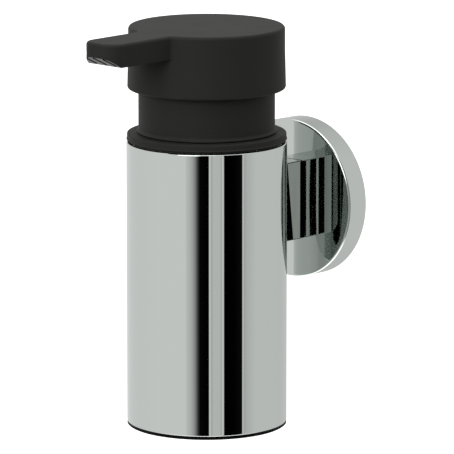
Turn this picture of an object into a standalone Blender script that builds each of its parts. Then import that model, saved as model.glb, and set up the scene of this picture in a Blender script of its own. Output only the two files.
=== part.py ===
"""Wall-held soap dispenser: a press pump in a refill bottle, carried by a chrome tube, arm and rosette.

Metres, +Z up. The wall is the plane y = 0, the object stands out towards -Y, and the origin is the
centre of the rosette on the wall.
"""

from math import acos, asin, atan2, cos, hypot, pi, sin, sqrt, tau

import bmesh
import bpy
from mathutils import Matrix

# Clearances and overruns
FIT = 0.0003
OVERRUN = 0.002
WELD = 0.000001

# Faces round a turned piece
SIDES = 48
SMALL_SIDES = 24
SCREW_SIDES = 16
SOCKET_SIDES = 6
ARC_STEPS = 3
SPOUT_FRONT_STEPS = 6
CORNER_STEPS = 6
SHARP_ANGLE = pi / 6

# Rosette, wall plate and set screw
ROSETTE_RADIUS = 0.0278
ROSETTE_DEPTH = 0.0086
ROSETTE_WALL = 0.002
ROSETTE_EDGE = 0.0006
BOSS_WIDTH = 0.0064
BOSS_RISE = 0.0022
PLATE_PLAY = 0.0011
PLATE_UNDERCUT = 0.0018
PLATE_THICKNESS = 0.0032
PLATE_HOLE_RADIUS = 0.0024
PLATE_SINK_RADIUS = 0.0045
PLATE_HOLE_SPREAD = 0.012
GRUB_RADIUS = 0.0015
GRUB_POINT_RADIUS = 0.0008
GRUB_EDGE = 0.0005
GRUB_SOCKET_RADIUS = 0.0009
GRUB_SOCKET_DEPTH = 0.0015
GRUB_SUNK = 0.0004

# Arm and its screws
ARM_WIDTH = 0.011
ARM_HEIGHT = 0.0276
ARM_EDGE = 0.0004
SCREW_RADIUS = 0.002
SCREW_HEAD_RADIUS = 0.0035
SCREW_HEAD_HEIGHT = 0.0022
SCREW_GRIP_SHARE = 0.54
SCREW_SOCKET_RADIUS = 0.0015
SCREW_SOCKET_DEPTH = 0.0013
SCREW_END = 0.0063

# Tube and base cap
REACH = 0.05085
TUBE_RADIUS = 0.0275
TUBE_WALL = 0.001
TUBE_HEIGHT = 0.0975
TUBE_RISE = 0.02555
TUBE_EDGE = 0.0003
CAP_LIP = 0.0008
CAP_FLOOR = 0.0018
CAP_SPIGOT_RISE = 0.004
CAP_SPIGOT_WALL = 0.0016
CAP_EDGE = 0.0004
CAP_DRAIN_RADIUS = 0.003

# Bottle and the ring that carries it
BOTTLE_PLAY = 0.0005
BOTTLE_WALL = 0.0012
BOTTLE_FLOOR = 0.0015
BOTTLE_FOOT_EDGE = 0.0015
BOTTLE_PUNT = 0.0012
BOTTLE_FOOT_WIDTH = 0.007
BOTTLE_SHOULDER = 0.0025
BOTTLE_NECK_SHARE = 0.771
BOTTLE_NECK_WALL = 0.0018
FLANGE_INSET = 0.00005
FLANGE_HEIGHT = 0.00295
FLANGE_EDGE = 0.0007

# Screw collar and gasket
THREAD_PLAY = 0.00054
COLLAR_HEIGHT = 0.0179
COLLAR_WALL = 0.0016
COLLAR_DECK = 0.0018
COLLAR_EDGE = 0.0007
WELL_PLAY = 0.0025
WELL_DEPTH = 0.0026
GASKET_THICKNESS = 0.001
GASKET_WIDTH = 0.002

# Pump housing and what stands in it
BORE_RADIUS = 0.0065
HOUSING_WALL = 0.0012
HOUSING_RISE = 0.0017
HOUSING_FLANGE = 0.0014
HOUSING_FLANGE_WIDTH = 0.0038
HOUSING_STEP = 0.0015
SOCKET_DEPTH = 0.009
INLET_WEB = 0.0012
INLET_RADIUS = 0.0014
BALL_RADIUS = 0.002
INLET_LIFT = 0.0012
CAGE_THICKNESS = 0.0014
CAGE_HOLE_RADIUS = 0.001
CAGE_HOLE_SPREAD = 0.0031
CAGE_HOLES = 4
DIP_RADIUS = 0.00245
DIP_BORE_RADIUS = 0.0016
DIP_FLOOR_GAP = 0.0012
SPRING_PLAY = 0.0019
SPRING_WIRE_RADIUS = 0.0004
SPRING_TURNS = 7
SPRING_PRESSED = 0.010
SPRING_POINTS_PER_TURN = 9
LOCK_WALL = 0.0025
LOCK_TOP = 0.0012
LOCK_EDGE = 0.0005
SLEEVE_DEPTH = 0.0073

# Piston, stem, delivery channel and outlet valve
STROKE = 0.010
SEAL_HEIGHT = 0.0046
SEAL_WAIST = 0.0008
SEAL_LIP = 0.0009
STEM_RADIUS = 0.0026
STEM_BORE_RADIUS = 0.0014
STEM_LENGTH = 0.0174
STEM_FOOT_PLAY = 0.0011
STEM_FOOT = 0.001
CHANNEL_WALL = 0.0014
NOZZLE_RADIUS = 0.0021
NOZZLE_BORE_RADIUS = 0.0012
OUTLET_BALL_RADIUS = 0.0021
OUTLET_LIFT = 0.001

# Head and spout
HEAD_INSET = 0.0004
HEAD_TAPER = 0.00035
HEAD_HEIGHT = 0.0215
HEAD_OVERLAP = 0.003
HEAD_WALL = 0.002
HEAD_TOP_WALL = 0.0019
HEAD_TOP_EDGE = 0.0011
HEAD_FOOT_EDGE = 0.0009
HEAD_INNER_EDGE = 0.001
SPOUT_REACH = 0.0534
SPOUT_WIDTH = 0.0158
SPOUT_HEIGHT = 0.008
SPOUT_CORNER = 0.0055
SPOUT_ROOT = 0.0016
SPOUT_WALL = 0.0018
SPOUT_TIP_WALL = 0.003
SPOUT_FLOOR = 0.0015
SPOUT_CUT_HEIGHT = 0.003
SPOUT_CUT_DEPTH = 0.0026
SLOTS = 3
SLOT_LENGTH = 0.0036
SLOT_WIDTH = 0.0006
SLOT_DEPTH = 0.0032
SLOT_PITCH = 0.0037
SLOT_TILT = 0.5
MOUTH_CHAMBER = 0.003
RIB_WALL = 0.0012
RIB_DEPTH = 0.0034
RIB_LENGTH = 0.014

# Radii and places that follow from these
GRUB_LEVEL = GRUB_RADIUS + FIT + GRUB_EDGE
PLATE_RADIUS = ROSETTE_RADIUS - ROSETTE_WALL - BOSS_RISE - PLATE_PLAY
SCREW_SPREAD = ARM_HEIGHT / 2 - SCREW_END
SCREW_GRIP = (REACH - TUBE_RADIUS - ROSETTE_DEPTH) * SCREW_GRIP_SHARE
TUBE_BORE = TUBE_RADIUS - TUBE_WALL
BOTTLE_RADIUS = TUBE_BORE - BOTTLE_PLAY
BOTTLE_PUNT_RADIUS = BOTTLE_RADIUS - BOTTLE_FOOT_WIDTH
BOTTLE_NECK_RADIUS = TUBE_RADIUS * BOTTLE_NECK_SHARE
FLANGE_RADIUS = TUBE_RADIUS - FLANGE_INSET
COLLAR_RADIUS = BOTTLE_NECK_RADIUS + THREAD_PLAY + COLLAR_WALL
HEAD_FOOT_RADIUS = TUBE_RADIUS - HEAD_INSET
HEAD_TOP_RADIUS = HEAD_FOOT_RADIUS - HEAD_TAPER
HOUSING_RADIUS = BORE_RADIUS + HOUSING_WALL
LOCK_BORE = HOUSING_RADIUS + FIT
LOCK_RADIUS = LOCK_BORE + LOCK_WALL
WELL_RADIUS = LOCK_RADIUS + WELL_PLAY
SPRING_RADIUS = BORE_RADIUS - SPRING_PLAY
STEM_FOOT_RADIUS = BORE_RADIUS - STEM_FOOT_PLAY

# Levels, from the foot up
TUBE_FOOT = TUBE_RISE - TUBE_HEIGHT
CAP_TOP = TUBE_FOOT - FIT
CAP_BOTTOM = CAP_TOP - CAP_LIP
SPIGOT_TOP = TUBE_FOOT + CAP_SPIGOT_RISE
BOTTLE_BOTTOM = SPIGOT_TOP + FIT
FLANGE_BOTTOM = TUBE_RISE + FIT
FLANGE_TOP = FLANGE_BOTTOM + FLANGE_HEIGHT
SHOULDER_TOP = FLANGE_BOTTOM - FIT
COLLAR_BOTTOM = FLANGE_TOP + FIT
COLLAR_TOP = COLLAR_BOTTOM + COLLAR_HEIGHT
DECK_UNDER = COLLAR_TOP - COLLAR_DECK
WELL_FLOOR = COLLAR_TOP - WELL_DEPTH
WELL_UNDER = WELL_FLOOR - COLLAR_DECK
GASKET_TOP = DECK_UNDER - FIT
BOTTLE_RIM = GASKET_TOP - GASKET_THICKNESS - FIT
HOUSING_TOP = WELL_FLOOR + HOUSING_RISE
FLANGE_SEAT = WELL_UNDER - FIT
LOCK_BOTTOM = WELL_FLOOR + FIT
LOCK_UNDER = HOUSING_TOP + FIT
LOCK_CAP_TOP = LOCK_UNDER + LOCK_TOP
SLEEVE_BOTTOM = HOUSING_TOP - SLEEVE_DEPTH
SLEEVE_RADIUS = BORE_RADIUS - FIT
CHANNEL_BORE = STEM_RADIUS + FIT
CHANNEL_RADIUS = CHANNEL_BORE + CHANNEL_WALL
CHANNEL_BOTTOM = SLEEVE_BOTTOM
SEAL_TOP = SLEEVE_BOTTOM - FIT
SEAL_BOTTOM = SEAL_TOP - SEAL_HEIGHT
STEM_FOOT_TOP = SEAL_BOTTOM - FIT
STEM_BOTTOM = STEM_FOOT_TOP - STEM_FOOT
STEM_TOP = STEM_BOTTOM + STEM_LENGTH
SPRING_TOP = STEM_BOTTOM - FIT
SPRING_BOTTOM = SPRING_TOP - STROKE - SPRING_PRESSED
CAGE_TOP = SPRING_BOTTOM - FIT
CAGE_BOTTOM = CAGE_TOP - CAGE_THICKNESS
BALL_CENTRE = CAGE_BOTTOM - FIT - INLET_LIFT - BALL_RADIUS
INLET_SEAT = BALL_CENTRE + INLET_RADIUS - sqrt(2) * (BALL_RADIUS + FIT)
CONE_RADIUS = BORE_RADIUS - HOUSING_STEP
CONE_TOP = INLET_SEAT + CONE_RADIUS - INLET_RADIUS
SOCKET_RADIUS = DIP_RADIUS + FIT
SOCKET_END = INLET_SEAT - INLET_WEB
HOUSING_BOTTOM = SOCKET_END - SOCKET_DEPTH
OUTLET_CENTRE = STEM_TOP + sqrt((OUTLET_BALL_RADIUS + FIT) ** 2 - STEM_BORE_RADIUS**2)
OUTLET_STOP = OUTLET_CENTRE + OUTLET_BALL_RADIUS + OUTLET_LIFT + FIT
HEAD_BOTTOM = COLLAR_TOP - HEAD_OVERLAP
HEAD_TOP = HEAD_BOTTOM + HEAD_HEIGHT
HEAD_CEILING = HEAD_TOP - HEAD_TOP_WALL
CHANNEL_TOP = HEAD_CEILING - FIT
NOZZLE_LEVEL = CHANNEL_TOP - NOZZLE_RADIUS
SPOUT_UNDER = HEAD_TOP - SPOUT_HEIGHT


def finish(name, colour, metallic, roughness):
    """A plain material for one sub-part."""
    material = bpy.data.materials.new(name)
    material.use_nodes = True
    shader = material.node_tree.nodes["Principled BSDF"]
    shader.inputs["Base Color"].default_value = (*colour, 1)
    shader.inputs["Metallic"].default_value = metallic
    shader.inputs["Roughness"].default_value = roughness
    return material


def toward(a, b):
    """The unit vector from one outline point to another."""
    length = hypot(b[0] - a[0], b[1] - a[1])
    return (b[0] - a[0]) / length, (b[1] - a[1]) / length


def arc(centre, radius, start, end, steps):
    """Points on an arc, both ends included."""
    angles = [start + (end - start) * step / steps for step in range(steps + 1)]
    return [(centre[0] + radius * cos(angle), centre[1] + radius * sin(angle)) for angle in angles]


def rounded(corners):
    """Points of an outline whose corners (a, b, radius) are rounded, or left sharp at radius zero."""
    points = []
    for index, (a, b, radius) in enumerate(corners):
        if not radius:
            points.append((a, b))
            continue
        into = toward((a, b), corners[index - 1])
        out = toward((a, b), corners[(index + 1) % len(corners)])
        half = acos(into[0] * out[0] + into[1] * out[1]) / 2
        middle = toward((0, 0), (into[0] + out[0], into[1] + out[1]))
        spread = radius / sin(half)
        centre = (a + middle[0] * spread, b + middle[1] * spread)
        facing = atan2(-middle[1], -middle[0])
        turn = pi / 2 - half
        if into[0] * out[1] - into[1] * out[0] > 0:
            turn = -turn
        points += arc(centre, radius, facing - turn, facing + turn, ARC_STEPS)
    return points


def placed(name, mesh, material, parent, centre=(0, 0, 0)):
    """The finished mesh as a named object on its parent."""
    bmesh.ops.remove_doubles(mesh, verts=mesh.verts[:], dist=WELD)
    bmesh.ops.recalc_face_normals(mesh, faces=mesh.faces[:])
    data = bpy.data.meshes.new(name)
    mesh.to_mesh(data)
    mesh.free()
    data.shade_smooth()
    data.set_sharp_from_angle(angle=SHARP_ANGLE)
    data.materials.append(material)
    piece = bpy.data.objects.new(name, data)
    bpy.context.scene.collection.objects.link(piece)
    piece.parent = parent
    piece.location = centre
    return piece


def turned_mesh(corners, sides):
    """A profile of radius and height turned about Z; one that starts and ends on the axis is open there."""
    mesh = bmesh.new()
    points = rounded(corners)
    ring = [mesh.verts.new((radius, 0, height)) for radius, height in points]
    edges = [mesh.edges.new(pair) for pair in zip(ring, ring[1:])]
    if points[0][0] > 0:
        edges.append(mesh.edges.new((ring[-1], ring[0])))
    bmesh.ops.spin(
        mesh, geom=ring + edges, cent=(0, 0, 0), axis=(0, 0, 1), angle=tau, steps=sides, use_merge=True
    )
    return mesh


def turned(name, corners, material, parent, centre=(0, 0, 0), sides=SIDES):
    return placed(name, turned_mesh(corners, sides), material, parent, centre)


def turned_outwards(name, corners, material, parent, centre=(0, 0, 0), sides=SIDES):
    """A turned piece whose axis points away from the wall: its heights run towards -Y."""
    mesh = turned_mesh(corners, sides)
    quarter = Matrix.Rotation(pi / 2, 3, "X")
    bmesh.ops.rotate(mesh, verts=mesh.verts[:], cent=(0, 0, 0), matrix=quarter)
    return placed(name, mesh, material, parent, centre)


def rod(radius, low, high):
    """The profile of a plain solid cylinder."""
    return [(0, low, 0), (radius, low, 0), (radius, high, 0), (0, high, 0)]


def pipe(inner, outer, low, high):
    """The profile of a plain pipe."""
    return [(inner, low, 0), (outer, low, 0), (outer, high, 0), (inner, high, 0)]


def block_mesh(low, high):
    mesh = bmesh.new()
    bmesh.ops.create_cube(mesh, size=1)
    for vert in mesh.verts:
        vert.co = [low[axis] if vert.co[axis] < 0 else high[axis] for axis in range(3)]
    return mesh


def changed(piece, tool, operation):
    """A Boolean with a tool that stays in the file as a guide."""
    tool.hide_render = True
    tool.display_type = "WIRE"
    modifier = piece.modifiers.new(tool.name, "BOOLEAN")
    modifier.operation = operation
    modifier.solver = "EXACT"
    modifier.object = tool


def stand(name, parent=None, centre=(0, 0, 0)):
    """An empty that carries the pieces of one body."""
    empty = bpy.data.objects.new(name, None)
    bpy.context.scene.collection.objects.link(empty)
    empty.parent = parent
    empty.location = centre
    return empty


def make_wall_plate(material, body):
    """Undercut disc, widest away from the wall, so that the set screw draws the rosette home."""
    back_radius = PLATE_RADIUS - PLATE_UNDERCUT
    profile = [(0, 0, 0), (back_radius, 0, 0), (PLATE_RADIUS, PLATE_THICKNESS, 0), (0, PLATE_THICKNESS, 0)]
    plate = turned_outwards("wall_plate", profile, material, body)
    sink_level = PLATE_THICKNESS - (PLATE_SINK_RADIUS - PLATE_HOLE_RADIUS)
    hole_profile = [
        (0, -OVERRUN, 0),
        (PLATE_HOLE_RADIUS, -OVERRUN, 0),
        (PLATE_HOLE_RADIUS, sink_level, 0),
        (PLATE_SINK_RADIUS, PLATE_THICKNESS, 0),
        (PLATE_SINK_RADIUS, PLATE_THICKNESS + OVERRUN, 0),
        (0, PLATE_THICKNESS + OVERRUN, 0),
    ]
    for side in (-1, 1):
        centre = (side * PLATE_HOLE_SPREAD, 0, 0)
        hole = turned_outwards(f"plate_hole_{side}", hole_profile, material, body, centre, SMALL_SIDES)
        changed(plate, hole, "DIFFERENCE")


def make_rosette(material, body):
    """Chrome cup over the wall plate, with a pad inside its rim for the set screw."""
    inner = ROSETTE_RADIUS - ROSETTE_WALL
    face_back = ROSETTE_DEPTH - ROSETTE_WALL
    profile = [
        (0, face_back, 0),
        (inner, face_back, 0),
        (inner, 0, 0),
        (ROSETTE_RADIUS, 0, 0),
        (ROSETTE_RADIUS, ROSETTE_DEPTH, ROSETTE_EDGE),
        (0, ROSETTE_DEPTH, 0),
    ]
    rosette = turned_outwards("rosette", profile, material, body)
    half_wall = ROSETTE_WALL / 2
    pad_low = (-BOSS_WIDTH / 2, -face_back - half_wall, -inner - half_wall)
    pad_high = (BOSS_WIDTH / 2, -FIT, -inner + BOSS_RISE)
    pad = placed("rosette_pad", block_mesh(pad_low, pad_high), material, body)
    changed(rosette, pad, "UNION")
    bore = rod(GRUB_RADIUS + FIT, -ROSETTE_RADIUS - OVERRUN, -inner + BOSS_RISE + OVERRUN)
    grub_bore = turned("grub_bore", bore, material, body, (0, -GRUB_LEVEL, 0), SCREW_SIDES)
    changed(rosette, grub_bore, "DIFFERENCE")
    passage = rod(SCREW_RADIUS + FIT, face_back - OVERRUN, ROSETTE_DEPTH + OVERRUN)
    for side in (-1, 1):
        centre = (0, 0, side * SCREW_SPREAD)
        hole = turned_outwards(f"rosette_hole_{side}", passage, material, body, centre, SCREW_SIDES)
        changed(rosette, hole, "DIFFERENCE")


def make_grub_screw(material, body):
    """Set screw with a flat point, sunk a little into the rosette's rim."""
    edge_share = (GRUB_LEVEL + GRUB_POINT_RADIUS) / PLATE_THICKNESS
    tip = -(PLATE_RADIUS - PLATE_UNDERCUT * (1 - edge_share) + FIT)
    tail = -ROSETTE_RADIUS + GRUB_SUNK
    profile = [
        (0, tail, 0),
        (GRUB_RADIUS, tail, 0),
        (GRUB_RADIUS, tip - GRUB_RADIUS + GRUB_POINT_RADIUS, 0),
        (GRUB_POINT_RADIUS, tip, 0),
        (0, tip, 0),
    ]
    centre = (0, -GRUB_LEVEL, 0)
    grub = turned("rosette_grub_screw", profile, material, body, centre, SCREW_SIDES)
    socket = rod(GRUB_SOCKET_RADIUS, tail - OVERRUN, tail + GRUB_SOCKET_DEPTH)
    key = turned("grub_socket", socket, material, body, centre, SOCKET_SIDES)
    changed(grub, key, "DIFFERENCE")


def make_arm(material, body):
    """Flat upright bar, coped to the tube and tapped from the rosette's side."""
    root = ROSETTE_DEPTH + FIT
    half = ARM_WIDTH / 2
    tip = REACH - sqrt(TUBE_RADIUS**2 - half**2)
    mesh = block_mesh((-half, -tip, -ARM_HEIGHT / 2), (half, -root, ARM_HEIGHT / 2))
    long_edges = [edge for edge in mesh.edges if abs(edge.verts[0].co.y - edge.verts[1].co.y) > WELD]
    bmesh.ops.bevel(mesh, geom=long_edges, offset=ARM_EDGE, segments=2, profile=0.5, affect="EDGES")
    arm = placed("arm", mesh, material, body)
    cope = rod(TUBE_RADIUS + FIT, -ARM_HEIGHT, ARM_HEIGHT)
    changed(arm, turned("arm_cope", cope, material, body, (0, -REACH, 0)), "DIFFERENCE")
    thread = rod(SCREW_RADIUS + FIT, root - OVERRUN, root + SCREW_GRIP + FIT)
    for side in (-1, 1):
        centre = (0, 0, side * SCREW_SPREAD)
        hole = turned_outwards(f"arm_hole_{side}", thread, material, body, centre, SCREW_SIDES)
        changed(arm, hole, "DIFFERENCE")


def make_arm_screw(name, side, material, body):
    """Cap screw that holds the arm from inside the rosette."""
    under_head = ROSETTE_DEPTH - ROSETTE_WALL - FIT
    head_back = under_head - SCREW_HEAD_HEIGHT
    profile = [
        (0, head_back, 0),
        (SCREW_HEAD_RADIUS, head_back, 0),
        (SCREW_HEAD_RADIUS, under_head, 0),
        (SCREW_RADIUS, under_head, 0),
        (SCREW_RADIUS, ROSETTE_DEPTH + SCREW_GRIP, 0),
        (0, ROSETTE_DEPTH + SCREW_GRIP, 0),
    ]
    centre = (0, 0, side * SCREW_SPREAD)
    screw = turned_outwards(name, profile, material, body, centre, SCREW_SIDES)
    socket = rod(SCREW_SOCKET_RADIUS, head_back - OVERRUN, head_back + SCREW_SOCKET_DEPTH)
    key = turned_outwards(f"{name}_socket", socket, material, body, centre, SOCKET_SIDES)
    changed(screw, key, "DIFFERENCE")


def make_holder_tube(material, body):
    """Chrome tube, open at both ends, with its outer rims eased."""
    profile = [
        (TUBE_BORE, TUBE_FOOT, 0),
        (TUBE_RADIUS, TUBE_FOOT, TUBE_EDGE),
        (TUBE_RADIUS, TUBE_RISE, TUBE_EDGE),
        (TUBE_BORE, TUBE_RISE, 0),
    ]
    turned("holder_tube", profile, material, body)


def make_base_cap(material, body):
    """Cap with a lip under the tube, a spigot inside it and a drain hole."""
    spigot = TUBE_BORE - FIT
    profile = [
        (CAP_DRAIN_RADIUS, CAP_BOTTOM, 0),
        (TUBE_RADIUS, CAP_BOTTOM, CAP_EDGE),
        (TUBE_RADIUS, CAP_TOP, 0),
        (spigot, CAP_TOP, 0),
        (spigot, SPIGOT_TOP, 0),
        (spigot - CAP_SPIGOT_WALL, SPIGOT_TOP, 0),
        (spigot - CAP_SPIGOT_WALL, CAP_BOTTOM + CAP_FLOOR, 0),
        (CAP_DRAIN_RADIUS, CAP_BOTTOM + CAP_FLOOR, 0),
    ]
    turned("base_cap", profile, material, body)


def make_bottle(material, body):
    """Blown bottle with a flat shoulder, a wide neck and a hollow pushed up into its floor."""
    punt = BOTTLE_BOTTOM + BOTTLE_PUNT
    inside = BOTTLE_RADIUS - BOTTLE_WALL
    neck_bore = BOTTLE_NECK_RADIUS - BOTTLE_NECK_WALL
    profile = [
        (0, punt, 0),
        (BOTTLE_PUNT_RADIUS, punt, 0),
        (BOTTLE_PUNT_RADIUS + BOTTLE_PUNT, BOTTLE_BOTTOM, 0),
        (BOTTLE_RADIUS, BOTTLE_BOTTOM, BOTTLE_FOOT_EDGE),
        (BOTTLE_RADIUS, SHOULDER_TOP, BOTTLE_SHOULDER),
        (BOTTLE_NECK_RADIUS, SHOULDER_TOP, 0),
        (BOTTLE_NECK_RADIUS, BOTTLE_RIM, 0),
        (neck_bore, BOTTLE_RIM, 0),
        (neck_bore, SHOULDER_TOP - BOTTLE_WALL, 0),
        (inside, SHOULDER_TOP - BOTTLE_WALL, BOTTLE_SHOULDER - BOTTLE_WALL),
        (inside, punt + BOTTLE_FLOOR, 0),
        (0, punt + BOTTLE_FLOOR, 0),
    ]
    turned("bottle", profile, material, body)


def make_flange_ring(material, body):
    """Ring on the tube's rim, over the bottle's shoulder."""
    bore = BOTTLE_NECK_RADIUS + FIT
    profile = [
        (bore, FLANGE_BOTTOM, 0),
        (FLANGE_RADIUS, FLANGE_BOTTOM, 0),
        (FLANGE_RADIUS, FLANGE_TOP, FLANGE_EDGE),
        (bore, FLANGE_TOP, 0),
    ]
    turned("flange_ring", profile, material, body)


def make_collar(material, body):
    """Screw collar over the bottle's neck, its deck sunk to a well that takes the pump."""
    inside = COLLAR_RADIUS - COLLAR_WALL
    hole = HOUSING_RADIUS + FIT
    well_outside = WELL_RADIUS + COLLAR_DECK
    profile = [
        (hole, WELL_UNDER, 0),
        (well_outside, WELL_UNDER, 0),
        (well_outside, DECK_UNDER, 0),
        (inside, DECK_UNDER, 0),
        (inside, COLLAR_BOTTOM, 0),
        (COLLAR_RADIUS, COLLAR_BOTTOM, COLLAR_EDGE),
        (COLLAR_RADIUS, COLLAR_TOP, COLLAR_EDGE),
        (WELL_RADIUS, COLLAR_TOP, 0),
        (WELL_RADIUS, WELL_FLOOR, 0),
        (hole, WELL_FLOOR, 0),
    ]
    turned("closure_collar", profile, material, body)


def make_gasket(material, body):
    profile = pipe(BOTTLE_NECK_RADIUS - GASKET_WIDTH, BOTTLE_NECK_RADIUS, BOTTLE_RIM + FIT, GASKET_TOP)
    turned("gasket", profile, material, body)


def make_housing(material, body):
    """Pump cylinder: flange under the collar's deck, ledge for the cage, ball seat and dip-tube socket."""
    socket_outside = SOCKET_RADIUS + HOUSING_WALL
    ledge = CAGE_BOTTOM - FIT
    foot_rise = HOUSING_RADIUS - socket_outside
    flange_radius = HOUSING_RADIUS + HOUSING_FLANGE_WIDTH
    profile = [
        (BORE_RADIUS, HOUSING_TOP, 0),
        (BORE_RADIUS, ledge, 0),
        (CONE_RADIUS, ledge, 0),
        (CONE_RADIUS, CONE_TOP, 0),
        (INLET_RADIUS, INLET_SEAT, 0),
        (INLET_RADIUS, SOCKET_END, 0),
        (SOCKET_RADIUS, SOCKET_END, 0),
        (SOCKET_RADIUS, HOUSING_BOTTOM, 0),
        (socket_outside, HOUSING_BOTTOM, 0),
        (socket_outside, SOCKET_END, 0),
        (HOUSING_RADIUS, SOCKET_END + foot_rise, 0),
        (HOUSING_RADIUS, FLANGE_SEAT - HOUSING_FLANGE, 0),
        (flange_radius, FLANGE_SEAT - HOUSING_FLANGE, 0),
        (flange_radius, FLANGE_SEAT, 0),
        (HOUSING_RADIUS, FLANGE_SEAT, 0),
        (HOUSING_RADIUS, HOUSING_TOP, 0),
    ]
    turned("pump_housing", profile, material, body, sides=SMALL_SIDES)


def make_lock_cap(material, body):
    """Cap snapped over the housing's rim, with a sleeve that guides the delivery channel."""
    guide = CHANNEL_RADIUS + FIT
    profile = [
        (guide, SLEEVE_BOTTOM, 0),
        (SLEEVE_RADIUS, SLEEVE_BOTTOM, 0),
        (SLEEVE_RADIUS, LOCK_UNDER, 0),
        (LOCK_BORE, LOCK_UNDER, 0),
        (LOCK_BORE, LOCK_BOTTOM, 0),
        (LOCK_RADIUS, LOCK_BOTTOM, 0),
        (LOCK_RADIUS, LOCK_CAP_TOP, LOCK_EDGE),
        (guide, LOCK_CAP_TOP, 0),
    ]
    turned("lock_cap", profile, material, body, sides=SMALL_SIDES)


def make_ball_cage(material, body):
    """Perforated disc that keeps the inlet ball in and seats the spring."""
    profile = rod(BORE_RADIUS - FIT, CAGE_BOTTOM, CAGE_TOP)
    cage = turned("ball_cage", profile, material, body, sides=SMALL_SIDES)
    passage = rod(CAGE_HOLE_RADIUS, CAGE_BOTTOM - OVERRUN, CAGE_TOP + OVERRUN)
    for number in range(CAGE_HOLES):
        angle = tau * number / CAGE_HOLES
        centre = (CAGE_HOLE_SPREAD * cos(angle), CAGE_HOLE_SPREAD * sin(angle), 0)
        hole = turned(f"cage_hole_{number}", passage, material, body, centre, SCREW_SIDES)
        changed(cage, hole, "DIFFERENCE")


def make_ball(name, radius, level, material, body):
    mesh = bmesh.new()
    bmesh.ops.create_uvsphere(mesh, u_segments=SCREW_SIDES, v_segments=SCREW_SIDES // 2, radius=radius)
    placed(name, mesh, material, body, (0, 0, level))


def make_dip_tube(material, body):
    bottle_floor = BOTTLE_BOTTOM + BOTTLE_PUNT + BOTTLE_FLOOR
    profile = pipe(DIP_BORE_RADIUS, DIP_RADIUS, bottle_floor + DIP_FLOOR_GAP, SOCKET_END - FIT)
    turned("dip_tube", profile, material, body, sides=SMALL_SIDES)


def make_spring(material, body):
    """Open coil spring between the cage and the stem's foot, swept along a helix."""
    low = SPRING_BOTTOM + SPRING_WIRE_RADIUS
    high = SPRING_TOP - SPRING_WIRE_RADIUS
    pitch = (high - low) / SPRING_TURNS
    print("return_spring: least gap between turns", pitch - 2 * SPRING_WIRE_RADIUS)
    count = SPRING_TURNS * SPRING_POINTS_PER_TURN + 1
    curve = bpy.data.curves.new("return_spring", "CURVE")
    curve.dimensions = "3D"
    curve.bevel_depth = SPRING_WIRE_RADIUS
    curve.bevel_resolution = 1
    curve.use_fill_caps = True
    line = curve.splines.new("POLY")
    line.points.add(count - 1)
    for number, point in enumerate(line.points):
        angle = tau * number / SPRING_POINTS_PER_TURN
        height = low + pitch * number / SPRING_POINTS_PER_TURN
        point.co = (SPRING_RADIUS * cos(angle), SPRING_RADIUS * sin(angle), height, 1)
    curve.materials.append(material)
    spring = bpy.data.objects.new("return_spring", curve)
    bpy.context.scene.collection.objects.link(spring)
    spring.parent = body


def make_piston_seal(material, body):
    """Soft piston with a lip at each end."""
    outside = BORE_RADIUS - FIT
    waist = outside - SEAL_WAIST
    profile = [
        (CHANNEL_BORE, SEAL_BOTTOM, 0),
        (outside, SEAL_BOTTOM, 0),
        (outside, SEAL_BOTTOM + SEAL_LIP, 0),
        (waist, SEAL_BOTTOM + SEAL_LIP + SEAL_WAIST, 0),
        (waist, SEAL_TOP - SEAL_LIP - SEAL_WAIST, 0),
        (outside, SEAL_TOP - SEAL_LIP, 0),
        (outside, SEAL_TOP, 0),
        (CHANNEL_BORE, SEAL_TOP, 0),
    ]
    turned("piston_seal", profile, material, body, sides=SMALL_SIDES)


def make_stem(material, body):
    """Hollow stem whose foot flange bears on the spring and whose top is the outlet valve's seat."""
    profile = [
        (STEM_BORE_RADIUS, STEM_BOTTOM, 0),
        (STEM_FOOT_RADIUS, STEM_BOTTOM, 0),
        (STEM_FOOT_RADIUS, STEM_FOOT_TOP, 0),
        (STEM_RADIUS, STEM_FOOT_TOP, 0),
        (STEM_RADIUS, STEM_TOP, 0),
        (STEM_BORE_RADIUS, STEM_TOP, 0),
    ]
    turned("piston_stem", profile, material, body, sides=SMALL_SIDES)


def make_channel(material, body):
    """Upright tube over the stem and level tube to the spout's mouth, moulded in one."""
    upright = rod(CHANNEL_RADIUS, CHANNEL_BOTTOM, CHANNEL_TOP)
    channel = turned("delivery_channel", upright, material, body, sides=SMALL_SIDES)
    end = SPOUT_REACH - SPOUT_TIP_WALL - MOUTH_CHAMBER
    centre = (0, 0, NOZZLE_LEVEL)
    level = turned_outwards("nozzle_tube", rod(NOZZLE_RADIUS, 0, end), material, body, centre, SCREW_SIDES)
    changed(channel, level, "UNION")
    bore_profile = [
        (0, CHANNEL_BOTTOM - OVERRUN, 0),
        (CHANNEL_BORE, CHANNEL_BOTTOM - OVERRUN, 0),
        (CHANNEL_BORE, OUTLET_STOP, 0),
        (NOZZLE_BORE_RADIUS, OUTLET_STOP, 0),
        (NOZZLE_BORE_RADIUS, NOZZLE_LEVEL, 0),
        (0, NOZZLE_LEVEL, 0),
    ]
    upright_bore = turned("channel_bore", bore_profile, material, body, sides=SMALL_SIDES)
    changed(channel, upright_bore, "DIFFERENCE")
    level_profile = rod(NOZZLE_BORE_RADIUS, -NOZZLE_BORE_RADIUS, end + OVERRUN)
    level_bore = turned_outwards("nozzle_bore", level_profile, material, body, centre, SCREW_SIDES)
    changed(channel, level_bore, "DIFFERENCE")


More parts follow.
